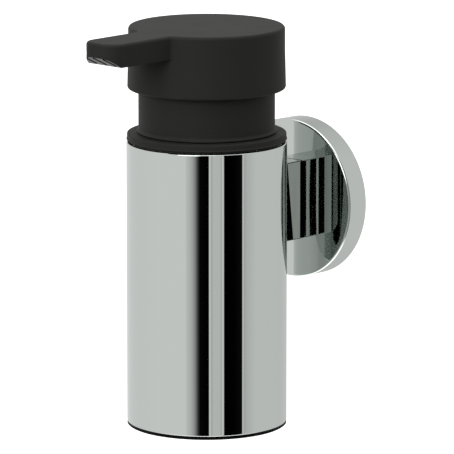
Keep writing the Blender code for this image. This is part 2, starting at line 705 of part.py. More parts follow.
def head_plan(radius):
    """The head from above: (spout part, round part) of the outline, forward distance as the second value."""
    half = SPOUT_WIDTH / 2
    root_centre = (half + SPOUT_ROOT, sqrt((radius + SPOUT_ROOT) ** 2 - (half + SPOUT_ROOT) ** 2))
    meeting = atan2(root_centre[1], root_centre[0])
    corner_centre = (half - SPOUT_CORNER, SPOUT_REACH - SPOUT_CORNER)
    root = arc(root_centre, SPOUT_ROOT, meeting + pi, pi, ARC_STEPS)
    corner = arc(corner_centre, SPOUT_CORNER, 0, pi / 2, CORNER_STEPS)
    right = root + corner
    spout = right + [(-a, b) for a, b in reversed(right)]
    back_steps = SIDES - SPOUT_FRONT_STEPS
    back = arc((0, 0), radius, pi - meeting, tau + meeting, back_steps)[1:-1]
    front = arc((0, 0), radius, meeting, pi - meeting, SPOUT_FRONT_STEPS)[1:-1]
    return spout, back, front


def head_shell_mesh():
    """Round skirt below, keyhole outline above, closed by the spout's flat underside."""
    mesh = bmesh.new()

    def loop(points, height):
        return [mesh.verts.new((a, -b, height)) for a, b in points]

    def band(low, high):
        pairs = list(zip(low, high))
        return [mesh.faces.new((a, c, d, b)) for (a, b), (c, d) in zip(pairs, pairs[1:] + pairs[:1])]

    taper = (HEAD_FOOT_RADIUS - HEAD_TOP_RADIUS) / HEAD_HEIGHT
    under_radius = HEAD_TOP_RADIUS + taper * SPOUT_HEIGHT
    foot_spout, foot_back, foot_front = head_plan(HEAD_FOOT_RADIUS)
    spout, back, front = head_plan(under_radius)
    top_spout, top_back, _ = head_plan(HEAD_TOP_RADIUS)
    under_spout = loop(spout, SPOUT_UNDER)
    under_back = loop(back, SPOUT_UNDER)
    under_front = loop(front, SPOUT_UNDER)
    foot = loop([foot_spout[0]] + foot_front + [foot_spout[-1]] + foot_back, HEAD_BOTTOM)
    top = loop(top_spout + top_back, HEAD_TOP)
    ring = [under_spout[0]] + under_front + [under_spout[-1]] + under_back
    band(foot, ring)
    band(under_spout + under_back, top)
    mesh.faces.new(foot)
    mesh.faces.new(top)
    mesh.faces.new(under_spout + under_front[::-1])
    bmesh.ops.recalc_face_normals(mesh, faces=mesh.faces[:])
    return mesh


def bevel_level(mesh, height, width, segments):
    """Rounds the edges that lie on one level of the outline."""
    edges = [edge for edge in mesh.edges if all(abs(vert.co.z - height) < WELD for vert in edge.verts)]
    bmesh.ops.bevel(
        mesh, geom=edges, offset=width, offset_type="OFFSET", segments=segments, profile=0.5, affect="EDGES"
    )


def make_head(material, body):
    """Cap and spout in one moulding, hollow, with clip ribs for the delivery channel."""
    mesh = head_shell_mesh()
    bevel_level(mesh, HEAD_TOP, HEAD_TOP_EDGE, ARC_STEPS)
    bevel_level(mesh, HEAD_BOTTOM, HEAD_FOOT_EDGE, ARC_STEPS - 1)
    head = placed("pump_head", mesh, material, body)
    inner_foot = HEAD_FOOT_RADIUS - HEAD_WALL
    inner_top = HEAD_TOP_RADIUS - HEAD_WALL
    cavity = [
        (0, HEAD_BOTTOM - OVERRUN, 0),
        (inner_foot, HEAD_BOTTOM - OVERRUN, 0),
        (inner_top, HEAD_CEILING, HEAD_INNER_EDGE),
        (0, HEAD_CEILING, 0),
    ]
    changed(head, turned("head_cavity", cavity, material, body), "DIFFERENCE")
    half = SPOUT_WIDTH / 2 - SPOUT_WALL
    low = (-half, -SPOUT_REACH + SPOUT_TIP_WALL, SPOUT_UNDER + SPOUT_FLOOR)
    high = (half, -inner_top / 2, HEAD_CEILING)
    changed(head, placed("spout_cavity", block_mesh(low, high), material, body), "DIFFERENCE")
    cut_spout_tip(head, material, body)
    for side in (-1, 1):
        near = NOZZLE_RADIUS + FIT
        sides = sorted((side * near, side * (near + RIB_WALL)))
        start = CHANNEL_RADIUS + FIT
        rib_low = (sides[0], -start - RIB_LENGTH, HEAD_CEILING - RIB_DEPTH)
        rib_high = (sides[1], -start, HEAD_CEILING + HEAD_TOP_WALL / 2)
        rib = placed(f"channel_rib_{side}", block_mesh(rib_low, rib_high), material, body)
        changed(head, rib, "UNION")


def cut_spout_tip(head, material, body):
    """Cuts the tip's lower edge back at a slant and opens the slanted mouth slots in it."""
    slope = atan2(SPOUT_CUT_HEIGHT, SPOUT_CUT_DEPTH)
    length = hypot(SPOUT_CUT_HEIGHT, SPOUT_CUT_DEPTH)
    middle = (0, -SPOUT_REACH + SPOUT_CUT_DEPTH / 2, SPOUT_UNDER + SPOUT_CUT_HEIGHT / 2)
    lean = Matrix.Rotation(-slope, 3, "X")
    bar_low = (-SPOUT_WIDTH, -length, -length - OVERRUN)
    bar_high = (SPOUT_WIDTH, length, 0)
    bar = block_mesh(bar_low, bar_high)
    bmesh.ops.rotate(bar, verts=bar.verts[:], cent=(0, 0, 0), matrix=lean)
    changed(head, placed("tip_cut", bar, material, body, middle), "DIFFERENCE")
    for number in range(SLOTS):
        slot = block_mesh(
            (-SLOT_LENGTH / 2, -SLOT_WIDTH / 2, -OVERRUN),
            (SLOT_LENGTH / 2, SLOT_WIDTH / 2, SLOT_DEPTH),
        )
        tilt = lean @ Matrix.Rotation(SLOT_TILT, 3, "Z")
        bmesh.ops.rotate(slot, verts=slot.verts[:], cent=(0, 0, 0), matrix=tilt)
        offset = (number - (SLOTS - 1) / 2) * SLOT_PITCH
        centre = (offset, middle[1], middle[2])
        changed(head, placed(f"mouth_slot_{number}", slot, material, body, centre), "DIFFERENCE")


for thing in list(bpy.data.objects):
    bpy.data.objects.remove(thing)

chrome = finish("chrome_plate", (0.72, 0.74, 0.74), 1, 0.04)
black = finish("black_moulding", (0.026, 0.026, 0.025), 0, 0.45)
clear = finish("clear_moulding", (0.75, 0.77, 0.76), 0, 0.3)
white = finish("white_moulding", (0.8, 0.8, 0.78), 0, 0.35)
steel = finish("bright_steel", (0.6, 0.6, 0.6), 1, 0.25)
soft = finish("soft_seal", (0.55, 0.55, 0.53), 0, 0.6)

holder = stand("holder")
tube_axis = stand("tube_axis", holder, (0, -REACH, 0))
insert = stand("insert", tube_axis)
pump = stand("pump", insert)
collar = stand("collar", pump)
plunger = stand("plunger", pump)
head_body = stand("head", plunger)

make_wall_plate(steel, holder)
make_rosette(chrome, holder)
make_grub_screw(steel, holder)
make_arm(chrome, holder)
make_arm_screw("arm_screw_upper", 1, steel, holder)
make_arm_screw("arm_screw_lower", -1, steel, holder)
make_holder_tube(chrome, tube_axis)
make_base_cap(black, tube_axis)
make_bottle(clear, insert)
make_flange_ring(black, insert)
make_collar(black, collar)
make_gasket(soft, pump)
make_housing(white, pump)
make_lock_cap(black, pump)
make_ball_cage(white, pump)
make_ball("inlet_ball", BALL_RADIUS, BALL_CENTRE, steel, pump)
make_dip_tube(clear, pump)
make_spring(steel, pump)
make_piston_seal(soft, plunger)
make_stem(white, head_body)
make_channel(white, head_body)
make_ball("outlet_ball", OUTLET_BALL_RADIUS, OUTLET_CENTRE, steel, head_body)
make_head(black, head_body)
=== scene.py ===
"""Looks of a wall-held soap dispenser: chrome tube, arm and rosette, black press pump, refill bottle."""

from math import atan2, cos, pi, radians, sin, sqrt, tau

import bmesh
import bpy
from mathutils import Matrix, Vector


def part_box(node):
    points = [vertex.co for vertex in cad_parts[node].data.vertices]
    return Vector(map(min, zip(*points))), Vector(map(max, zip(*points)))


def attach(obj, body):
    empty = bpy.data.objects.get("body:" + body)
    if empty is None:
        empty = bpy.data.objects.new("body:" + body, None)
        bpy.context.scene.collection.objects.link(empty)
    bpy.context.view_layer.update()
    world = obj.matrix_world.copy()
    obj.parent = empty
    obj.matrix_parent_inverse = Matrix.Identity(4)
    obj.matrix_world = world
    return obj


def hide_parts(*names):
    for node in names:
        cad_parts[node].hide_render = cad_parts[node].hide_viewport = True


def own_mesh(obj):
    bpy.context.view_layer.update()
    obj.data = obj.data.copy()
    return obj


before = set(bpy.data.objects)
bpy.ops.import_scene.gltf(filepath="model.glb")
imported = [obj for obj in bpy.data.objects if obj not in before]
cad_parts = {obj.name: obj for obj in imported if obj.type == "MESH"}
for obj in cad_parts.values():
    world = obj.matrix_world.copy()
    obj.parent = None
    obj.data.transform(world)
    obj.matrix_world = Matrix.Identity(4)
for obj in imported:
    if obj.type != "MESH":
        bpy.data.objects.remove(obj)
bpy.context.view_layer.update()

# --- Camera ---
# A long lens from the front right and a little above, as a product is photographed.
camera_data = bpy.data.cameras.new("product_camera")
camera_data.lens = 430.4
camera_data.sensor_width = 36
camera_data.clip_end = 20
camera = bpy.data.objects.new("product_camera", camera_data)
bpy.context.scene.collection.objects.link(camera)
camera_turn, camera_rise = radians(43.3051), radians(11.1091)
camera_aim = Vector((0, -0.0407369, -0.0058763))
camera_distance = 1.866956
level_part = cos(camera_rise)
camera_back = Vector((sin(camera_turn) * level_part, -cos(camera_turn) * level_part, sin(camera_rise)))
camera.location = camera_aim + camera_back * camera_distance
camera.rotation_euler = (pi / 2 - camera_rise, 0, camera_turn)
bpy.context.scene.camera = camera
bpy.context.scene.view_settings.view_transform = "Standard"


# --- Studio ---
# Pale walls with tall black flags standing round the object, as bright plating is lit. The camera
# sees plain white behind it; only plating, gloss and clear plastic mirror the flags.
def linear(code):
    """An sRGB hex colour as the linear numbers that shaders take."""
    parts = [int(code[place : place + 2], 16) / 255 for place in (1, 3, 5)]
    return (*[part / 12.92 if part <= 0.04045 else ((part + 0.055) / 1.055) ** 2.4 for part in parts], 1)


def add(tree, kind, links=None, **settings):
    """A node with its settings; links gives an input's number or name its value or source."""
    made = tree.nodes.new(kind)
    for name, value in settings.items():
        setattr(made, name, value)
    for name, source in (links or {}).items():
        if isinstance(source, bpy.types.NodeSocket):
            tree.links.new(source, made.inputs[name])
        else:
            made.inputs[name].default_value = source
    return made


def set_stops(ramp, stops):
    """Gives a colour ramp its stops, each a place and a grey level."""
    elements = ramp.color_ramp.elements
    while len(elements) < len(stops):
        elements.new(1)
    for element, (place, level) in zip(elements, sorted(stops)):
        element.position = place
        element.color = (level, level, level, 1)


world = bpy.data.worlds.new("studio")
bpy.context.scene.world = world
world.use_nodes = True
tree = world.node_tree
tree.nodes.clear()
toward_sky = add(tree, "ShaderNodeTexCoord").outputs["Generated"]
facing = atan2(camera_back.y, camera_back.x)
turned_sky = add(tree, "ShaderNodeMapping", {"Vector": toward_sky, "Rotation": (0, 0, -facing)})
round_sky = add(tree, "ShaderNodeTexGradient", {"Vector": turned_sky.outputs[0]}, gradient_type="RADIAL")
flags = add(tree, "ShaderNodeValToRGB", {"Fac": round_sky.outputs["Fac"]})
# Degrees to the left (-) or right (+) of the camera, and how bright the room is there. A soft-edged flag
# stands straight behind the camera and a hard-edged one to its right, each with a lit gap beside it.
flag_edges = [
    (-180, 0.74), (-160, 0.88), (-75, 0.95), (-31, 0.95), (-29, 0.84), (-23, 0.7), (-18.7, 0.5),
    (-15.8, 0.3), (-12.9, 0.07), (-10, 0.003), (3.5, 0), (4, 1.1), (4.8, 1.1), (5.7, 0.74), (7.2, 0.6),
    (9, 0.78), (19.5, 0.77), (21, 0.6), (23.4, 1), (24.3, 1), (24.8, 0), (41, 0.001), (52.8, 0.006),
    (53.4, 1.1), (54.3, 1.1), (54.8, 0.6), (60, 0.72), (75, 0.84), (110, 0.83), (150, 0.74), (172, 0.62),
    (180, 0.66),
]
set_stops(flags, [(angle / 360 + 0.5, level) for angle, level in flag_edges])
path = add(tree, "ShaderNodeLightPath").outputs
up_part = add(tree, "ShaderNodeSeparateXYZ", {"Vector": toward_sky}).outputs["Z"]
# The room's soft light comes mostly from above, a little from the sides and hardly any from below.
from_above = add(
    tree, "ShaderNodeMapRange", {"Value": up_part, "From Min": -0.25, "To Min": 0.03, "To Max": 0.8}
)
room_light = add(
    tree, "ShaderNodeBackground", {"Color": linear("#FFFFFF"), "Strength": from_above.outputs[0]}
)
# The flags stop short of the ceiling and the floor, which are lit and show in rounded edges.
steep = add(tree, "ShaderNodeMath", {0: up_part}, operation="ABSOLUTE")
lit_end = add(tree, "ShaderNodeMapRange", {"Value": steep.outputs[0], "From Min": 0.72, "From Max": 0.86})
with_ends = add(
    tree, "ShaderNodeMixRGB", {0: lit_end.outputs[0], 1: flags.outputs["Color"], 2: (2.2, 2.2, 2.2, 1)}
)
mirrored = add(tree, "ShaderNodeBackground", {"Color": with_ends.outputs[0], "Strength": 1.0})
white = add(tree, "ShaderNodeBackground", {"Color": linear("#FFFFFF"), "Strength": 1.0})
lit_or_mirrored = {0: path["Is Glossy Ray"], 1: room_light.outputs[0], 2: mirrored.outputs[0]}
seen = add(tree, "ShaderNodeMixShader", lit_or_mirrored)
straight_through = {0: path["Is Camera Ray"], 1: path["Is Transmission Ray"]}
plain = add(tree, "ShaderNodeMath", straight_through, operation="MAXIMUM")
sky = add(tree, "ShaderNodeMixShader", {0: plain.outputs[0], 1: seen.outputs[0], 2: white.outputs[0]})
add(tree, "ShaderNodeOutputWorld", {"Surface": sky.outputs[0]})


def hang_lamp(name, place, aim, size, watts):
    """A square softbox, hung at a place and turned towards a point."""
    lamp = bpy.data.lights.new(name, "AREA")
    lamp.shape = "RECTANGLE"
    lamp.size, lamp.size_y = size
    lamp.energy = watts
    holder = bpy.data.objects.new(name, lamp)
    bpy.context.scene.collection.objects.link(holder)
    holder.location = place
    holder.rotation_euler = (Vector(aim) - Vector(place)).to_track_quat("-Z", "Y").to_euler()
    holder.visible_camera = False


middle = (0, -0.04, 0)
hang_lamp("overhead_softbox", (0.2, -0.32, 1.0), middle, (0.35, 0.35), 0.8)
hang_lamp("front_softbox", (0.35, -1.2, 0.55), middle, (0.7, 0.7), 5.6)

# --- Floor ---
# Plain pale sheet below the object, lit to the white of the background behind it.
bpy.ops.object.select_all(action="DESELECT")
bpy.ops.mesh.primitive_plane_add(size=12, location=(0, 0, -0.33))
floor = bpy.context.object
floor.name = "floor"
bpy.ops.object.transform_apply()
floor_paint = bpy.data.materials.new("pale_floor")
floor_paint.use_nodes = True
tree = floor_paint.node_tree
tree.nodes.clear()
path = add(tree, "ShaderNodeLightPath").outputs
board = add(tree, "ShaderNodeBsdfDiffuse", {"Color": linear("#F1F1EF")})
glow = add(tree, "ShaderNodeEmission", {"Strength": path["Is Camera Ray"]})
lit = add(tree, "ShaderNodeAddShader", {0: board.outputs[0], 1: glow.outputs[0]})
add(tree, "ShaderNodeOutputMaterial", {"Surface": lit.outputs[0]})
floor.data.materials.append(floor_paint)
floor.visible_glossy = False
floor.visible_diffuse = False

# --- Wall plate and screws ---
# Disc turned from bright steel bar, undercut at its edge, with two countersunk holes. It stays on
# the wall, and the rosette goes over it. The screws are bright steel too.


def paint(name):
    """A new material, its nodes and its shader."""
    made = bpy.data.materials.new(name)
    made.use_nodes = True
    return made, made.node_tree, made.node_tree.nodes["Principled BSDF"]


def wear(tree, scale, detail=4, stretch=(1, 1, 1)):
    """Noise on the piece's own place, in patches of one over scale metres."""
    place = add(tree, "ShaderNodeTexCoord").outputs["Object"]
    drawn = add(tree, "ShaderNodeMapping", {"Vector": place, "Scale": stretch})
    return add(tree, "ShaderNodeTexNoise", {"Vector": drawn.outputs[0], "Scale": scale, "Detail": detail})


def give(node_names, material):
    """CAD nodes that keep their shape get a better material."""
    for name in node_names:
        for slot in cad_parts[name].material_slots:
            slot.material = material


# Turned stainless steel: the tool leaves fine rings, drawn 0.25 mm apart to show, which spread the gloss
# round the axis, and handling leaves it a little unevenly bright.
ring_spacing = 0.00025
turned_steel, tree, shader = paint("turned_stainless_steel")
shader.inputs["Base Color"].default_value = linear("#BDBDBB")
shader.inputs["Metallic"].default_value = 1
place = add(tree, "ShaderNodeTexCoord").outputs["Object"]
rings = add(
    tree,
    "ShaderNodeTexWave",
    {"Vector": place, "Scale": 1 / (20 * ring_spacing), "Distortion": 0.4},
    wave_type="RINGS",
    rings_direction="Y",
)
soil = wear(tree, 260)
rough = add(tree, "ShaderNodeMapRange", {"Value": soil.outputs["Fac"], "To Min": 0.2, "To Max": 0.36})
tree.links.new(rough.outputs[0], shader.inputs["Roughness"])
marks = add(tree, "ShaderNodeBump", {"Height": rings.outputs["Fac"], "Distance": 0.00002, "Strength": 0.35})
tree.links.new(marks.outputs[0], shader.inputs["Normal"])
give(["wall_plate", "rosette_grub_screw", "arm_screw_upper", "arm_screw_lower"], turned_steel)

# --- Rosette ---
# Round cup, pressed from brass, polished and chrome plated, with a crisp rolled edge. It covers the
# wall plate and is held by a set screw from below.


def turned(name, outline, start, out, along, steps=192):
    """Draws half a section as a chain of extruded points, rounds its corners and spins it.

    The outline's points are (distance from the axis, place along it, corner radius)."""
    out, along = Vector(out), Vector(along)
    spots = [Vector(start) + out * point[0] + along * point[1] for point in outline]
    bpy.ops.object.select_all(action="DESELECT")
    bpy.ops.mesh.primitive_plane_add(size=0.001, location=spots[0])
    piece = bpy.context.object
    piece.name = piece.data.name = name
    bpy.ops.object.transform_apply()
    bpy.ops.object.mode_set(mode="EDIT")
    bpy.ops.mesh.select_mode(type="VERT")
    bpy.ops.mesh.merge(type="CENTER")
    for here, there in zip(spots, spots[1:]):
        bpy.ops.mesh.extrude_region_move(TRANSFORM_OT_translate={"value": there - here})
    bpy.ops.mesh.select_all(action="SELECT")
    bpy.ops.mesh.edge_face_add()
    for spot, (_, _, corner) in zip(spots, outline):
        if corner:
            shape = bmesh.from_edit_mesh(piece.data)
            for vert in shape.verts:
                vert.select_set((vert.co - spot).length < 1e-6)
            shape.select_flush(True)
            bpy.ops.mesh.bevel(
                offset=corner, offset_type="ABSOLUTE", segments=6, affect="VERTICES", clamp_overlap=False
            )
    bpy.ops.mesh.select_all(action="SELECT")
    bpy.ops.mesh.delete(type="ONLY_FACE")
    bpy.ops.mesh.select_all(action="SELECT")
    bpy.ops.mesh.spin(steps=steps, angle=tau, use_auto_merge=True, center=start, axis=along)
    bpy.ops.mesh.select_all(action="SELECT")
    bpy.ops.mesh.remove_doubles(threshold=1e-6)
    bpy.ops.mesh.normals_make_consistent(inside=False)
    bpy.ops.object.mode_set(mode="OBJECT")
    return piece


def pick(piece):
    """Selects this piece alone."""
    bpy.ops.object.select_all(action="DESELECT")
    piece.select_set(True)
    bpy.context.view_layer.objects.active = piece


def shade(piece, sharp):
    """Shades a piece smooth, but for edges sharper than this many degrees."""
    pick(piece)
    bpy.ops.object.shade_smooth_by_angle(angle=radians(sharp))


def dress(piece, body, node, material, sharp=35):
    """Shades a finished piece, gives it its finish and puts it in its node's stead."""
    shade(piece, sharp)
    flats = piece.modifiers.new("flats", "WEIGHTED_NORMAL")
    flats.keep_sharp = True
    bpy.ops.object.modifier_apply(modifier=flats.name)
    piece.data.materials.clear()
    piece.data.materials.append(material)
    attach(piece, body)
    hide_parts(node)


def plating(name, ripple):
    """Bright chrome over polished brass: mirror gloss, a cold tint, and the slow ripple that the
    polishing wheel leaves, given as its height in metres."""
    made, tree, shader = paint(name)
    shader.inputs["Base Color"].default_value = linear("#C2C7C4")
    shader.inputs["Metallic"].default_value = 1
    film = wear(tree, 90)
    rough = add(tree, "ShaderNodeMapRange", {"Value": film.outputs["Fac"], "To Min": 0.012, "To Max": 0.035})
    tree.links.new(rough.outputs[0], shader.inputs["Roughness"])
    waves = wear(tree, 60, 1, (1, 3.2, 0.55))
    polish = add(tree, "ShaderNodeBump", {"Height": waves.outputs["Fac"], "Distance": ripple, "Strength": 1})
    tree.links.new(polish.outputs[0], shader.inputs["Normal"])
    return made


rosette_low, rosette_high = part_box("rosette")
rosette_radius = rosette_high.x
rosette_depth = -rosette_low.y
rosette_wall = 0.002
rolled_edge, back_edge, inner_edge = 0.0007, 0.0003, 0.0006
rosette_outline = [
    (0, rosette_depth - rosette_wall, 0),
    (rosette_radius - rosette_wall, rosette_depth - rosette_wall, inner_edge),
    (rosette_radius - rosette_wall, 0, 0),
    (rosette_radius, 0, back_edge),
    (rosette_radius, rosette_depth, rolled_edge),
    (0, rosette_depth, 0),
]
rosette = turned("rosette_plated", rosette_outline, (0, 0, 0), (1, 0, 0), (0, -1, 0), 256)
flat_ripple = 0.000002
bright_chrome = plating("bright_chrome_plate", flat_ripple)
dress(rosette, "holder", "rosette", bright_chrome)

# --- Arm ---
# Flat bar of brass on edge, its end coped to the tube and brazed to it, polished and plated with it.
# The wheel leaves its sides a little wavy.
arm_low, arm_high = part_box("arm")
tube_low, tube_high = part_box("holder_tube")
tube_centre = (tube_low + tube_high) / 2
tube_radius = (tube_high.x - tube_low.x) / 2
arm_middle = (0, (arm_high.y + tube_centre.y) / 2, (arm_low.z + arm_high.z) / 2)
eased_edge = 0.0004
braze_overlap = 0.0001
bpy.ops.object.select_all(action="DESELECT")
bpy.ops.mesh.primitive_cube_add(size=1, location=arm_middle)
arm = bpy.context.object
arm.name = arm.data.name = "arm_plated"
arm.scale = (arm_high.x - arm_low.x, arm_high.y - tube_centre.y, arm_high.z - arm_low.z)
bpy.ops.object.transform_apply()
bpy.ops.object.mode_set(mode="EDIT")
bpy.ops.mesh.select_mode(type="EDGE")
bpy.ops.mesh.select_all(action="DESELECT")
shape = bmesh.from_edit_mesh(arm.data)
for edge in shape.edges:
    edge.select_set(abs(edge.verts[0].co.y - edge.verts[1].co.y) > 0.001)
bpy.ops.mesh.bevel(offset=eased_edge, segments=4, affect="EDGES")
bpy.ops.object.mode_set(mode="OBJECT")
bpy.ops.object.select_all(action="DESELECT")
bpy.ops.mesh.primitive_cylinder_add(
    vertices=256, radius=tube_radius - braze_overlap, depth=0.1, location=(0, tube_centre.y, 0)
)
cope = bpy.context.object
trim = arm.modifiers.new("cope", "BOOLEAN")
trim.operation = "DIFFERENCE"
trim.solver = "EXACT"
trim.object = cope
pick(arm)
bpy.ops.object.modifier_apply(modifier=trim.name)
bpy.data.objects.remove(cope)
bar_ripple = 0.00002
wavy_chrome = plating("bright_chrome_plate_on_bar", bar_ripple)
tree = wavy_chrome.node_tree
# The sides splay by about four degrees, from the middle of the bar up to the solder at its root.
splay_slope = 0.065
splay_from = arm_high.y - 0.0056
splay_lean = -0.11
solder_edge = arm_high.y - 0.0007
spot = add(tree, "ShaderNodeTexCoord").outputs["Object"]
spot_parts = add(tree, "ShaderNodeSeparateXYZ", {"Vector": spot}).outputs
lean = {0: spot_parts["Z"], 1: splay_lean, 2: splay_from}
splay_start = add(tree, "ShaderNodeMath", lean, operation="MULTIPLY_ADD")
splay_end = add(tree, "ShaderNodeMath", {0: spot_parts["Y"], 1: solder_edge}, operation="MINIMUM")
splay_run = {0: splay_end.outputs[0], 1: splay_start.outputs[0]}
splayed = add(tree, "ShaderNodeMath", splay_run, operation="SUBTRACT")
splay = add(tree, "ShaderNodeMath", {0: splayed.outputs[0], 1: 0}, operation="MAXIMUM")
slant = add(tree, "ShaderNodeBump", {"Height": splay.outputs[0], "Distance": splay_slope, "Strength": 1})
tree.links.new(tree.nodes["Bump"].outputs[0], slant.inputs["Normal"])
tree.links.new(slant.outputs[0], tree.nodes["Principled BSDF"].inputs["Normal"])
dress(arm, "holder", "arm", wavy_chrome, 25)

# --- Tube ---
# Drawn brass tube, polished and bright chrome plated, open at both ends, its rims eased by hand. It is
# brazed to the arm and the bottle hangs in it.
tube_wall = 0.001
foot_edge, rim_edge, bore_edge = 0.0006, 0.0004, 0.00015
tube_outline = [
    (tube_radius - tube_wall, tube_low.z, bore_edge),
    (tube_radius, tube_low.z, foot_edge),
    (tube_radius, tube_high.z, rim_edge),
    (tube_radius - tube_wall, tube_high.z, bore_edge),
]
axis_foot = (0, tube_centre.y, 0)
tube = turned("holder_tube_plated", tube_outline, axis_foot, (1, 0, 0), (0, 0, 1), 256)
dress(tube, "holder", "holder_tube", bright_chrome)

# --- Base cap ---
# Black cap, moulded and pressed into the tube's foot, with a fine bead round its lip and a drain
# hole in the middle. It is made of rubber, to grip the tube's bore.

# Smooth black rubber, moulded against a plain steel wall: a low even gloss over a deep black, made darker
# than the rubber's own black as painted shade for the cap's place under the tube's foot.
cap_black_and_painted_shade, tree, shader = paint("smooth_black_rubber_with_painted_shade")
# Painted shade: this base colour is far darker than the other black mouldings, to stand in for the shade
# under the tube's foot.
shader.inputs["Base Color"].default_value = linear("#0E0E0E")
shader.inputs["Specular IOR Level"].default_value = 0.06
scuffs = wear(tree, 420)
rough = add(tree, "ShaderNodeMapRange", {"Value": scuffs.outputs["Fac"], "To Min": 0.3, "To Max": 0.42})
tree.links.new(rough.outputs[0], shader.inputs["Roughness"])

cap_low, cap_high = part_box("base_cap")
drain = 0.003
cap_side = tube_radius - 0.0005
cap_bead = cap_low.z + 0.0004
cap_lip = cap_low.z + 0.0010
cap_floor = cap_low.z + 0.0018
spigot = tube_radius - tube_wall - 0.0003
spigot_inside = spigot - 0.0016
cap_outline = [
    (drain, cap_low.z, 0.0003),
    (cap_side, cap_low.z, 0.0002),
    (cap_side + 0.0002, cap_bead - 0.0001, 0),
    (tube_radius, cap_bead, 0.0001),
    (cap_side, cap_bead + 0.0002, 0),
    (cap_side, cap_lip, 0),
    (spigot, cap_lip, 0),
    (spigot, cap_high.z, 0),
    (spigot_inside, cap_high.z, 0),
    (spigot_inside, cap_floor, 0),
    (drain, cap_floor, 0),
]
base_cap = turned("base_cap_moulded", cap_outline, axis_foot, (1, 0, 0), (0, 0, 1))
dress(base_cap, "holder", "base_cap", cap_black_and_painted_shade)

# --- Bottle ---
# Refill bottle blown from natural polypropylene: milky, a little uneven in its wall, with a pushed-up
# floor and a screw thread round its neck.

# Natural polypropylene, blown: it lets light through without showing what lies behind, and its wall is
# slightly uneven, so its soft gloss wavers.
milky, tree, shader = paint("natural_polypropylene")
shader.inputs["Base Color"].default_value = linear("#EEF0EC")
shader.inputs["IOR"].default_value = 1.49
shader.inputs["Transmission Weight"].default_value = 0.7
flow = wear(tree, 55, 3, (1, 1, 0.4))
rough = add(tree, "ShaderNodeMapRange", {"Value": flow.outputs["Fac"], "To Min": 0.22, "To Max": 0.4})
tree.links.new(rough.outputs[0], shader.inputs["Roughness"])
uneven = add(tree, "ShaderNodeBump", {"Height": flow.outputs["Fac"], "Distance": 0.0004, "Strength": 0.5})
tree.links.new(uneven.outputs[0], shader.inputs["Normal"])

bottle_low, bottle_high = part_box("bottle")
bottle_radius = bottle_high.x
bottle_wall = 0.0012
shoulder = 0.02555
neck = 0.0212
neck_bore = neck - 0.0018
punt = bottle_low.z + 0.0012
punt_radius, foot_radius = 0.019, 0.0202
bottle_floor = punt + 0.0015
bottle_outline = [
    (0, punt, 0),
    (punt_radius, punt, 0.0008),
    (foot_radius, bottle_low.z, 0),
    (bottle_radius, bottle_low.z, 0.0015),
    (bottle_radius, shoulder, 0.0025),
    (neck, shoulder, 0.0003),
    (neck, bottle_high.z, 0.0004),
    (neck_bore, bottle_high.z, 0.0004),
    (neck_bore, shoulder - bottle_wall, 0.0003),
    (bottle_radius - bottle_wall, shoulder - bottle_wall, 0.0013),
    (bottle_radius - bottle_wall, bottle_floor, 0.001),
    (0, bottle_floor, 0),
]
bottle = turned("bottle_blown", bottle_outline, axis_foot, (1, 0, 0), (0, 0, 1))


def winding(name, section, radius, foot, pitch, turns):
    """Winds a small section, given as its corners out from and along the axis, into a closed helix."""
    corners = [Vector((radius + out, 0, foot + along)) for out, along in section]
    bpy.ops.object.select_all(action="DESELECT")
    bpy.ops.mesh.primitive_plane_add(size=0.001, location=(0, tube_centre.y, 0))
    piece = bpy.context.object
    piece.name = piece.data.name = name
    bpy.ops.object.mode_set(mode="EDIT")
    bpy.ops.mesh.select_mode(type="VERT")
    bpy.ops.mesh.merge(type="CENTER")
    bpy.ops.transform.translate(value=corners[0])
    for here, there in zip(corners, corners[1:]):
        bpy.ops.mesh.extrude_region_move(TRANSFORM_OT_translate={"value": there - here})
    bpy.ops.mesh.select_all(action="SELECT")
    bpy.ops.mesh.edge_face_add()
    bpy.ops.mesh.delete(type="ONLY_FACE")
    bpy.ops.object.mode_set(mode="OBJECT")
    wound = piece.modifiers.new("winding", "SCREW")
    wound.screw_offset = pitch * turns
    wound.angle = tau * turns
    wound.steps = wound.render_steps = round(48 * turns)
    bpy.ops.object.modifier_apply(modifier=wound.name)
    bpy.ops.object.transform_apply()
    bpy.ops.object.mode_set(mode="EDIT")
    bpy.ops.mesh.select_all(action="SELECT")
    bpy.ops.mesh.fill_holes(sides=0)
    bpy.ops.mesh.select_all(action="SELECT")
    bpy.ops.mesh.normals_make_consistent(inside=False)
    bpy.ops.object.mode_set(mode="OBJECT")
    return piece


# The thread stands proud of the neck by less than the collar's play.
thread_section = [(-0.0003, 0), (0.0004, 0.0004), (0.0004, 0.0008), (-0.0003, 0.0012)]
thread_foot, thread_pitch, thread_turns = 0.0335, 0.003, 1.9
thread = winding("bottle_thread_moulded", thread_section, neck, thread_foot, thread_pitch, thread_turns)
thread.data.materials.append(milky)
shade(thread, 35)
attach(thread, "insert")
dress(bottle, "insert", "bottle", milky)

# --- Flange ring ---
# Black moulded ring that hangs on the tube's rim and holds the bottle by its shoulder. A fine bead
# runs round it over the gap to the tube.

# Matt black polypropylene, spark eroded in the mould: a fine even grain, so the gloss is low and soft.
matt_black, tree, shader = paint("matt_moulded_black_plastic")
shader.inputs["Base Color"].default_value = linear("#30302E")
shader.inputs["Specular IOR Level"].default_value = 0.12
grain = wear(tree, 5200, 3)
sheen = wear(tree, 130)
rough = add(tree, "ShaderNodeMapRange", {"Value": sheen.outputs["Fac"], "To Min": 0.58, "To Max": 0.66})
tree.links.new(rough.outputs[0], shader.inputs["Roughness"])
spark = add(tree, "ShaderNodeBump", {"Height": grain.outputs["Fac"], "Distance": 0.00002, "Strength": 0.5})
tree.links.new(spark.outputs[0], shader.inputs["Normal"])

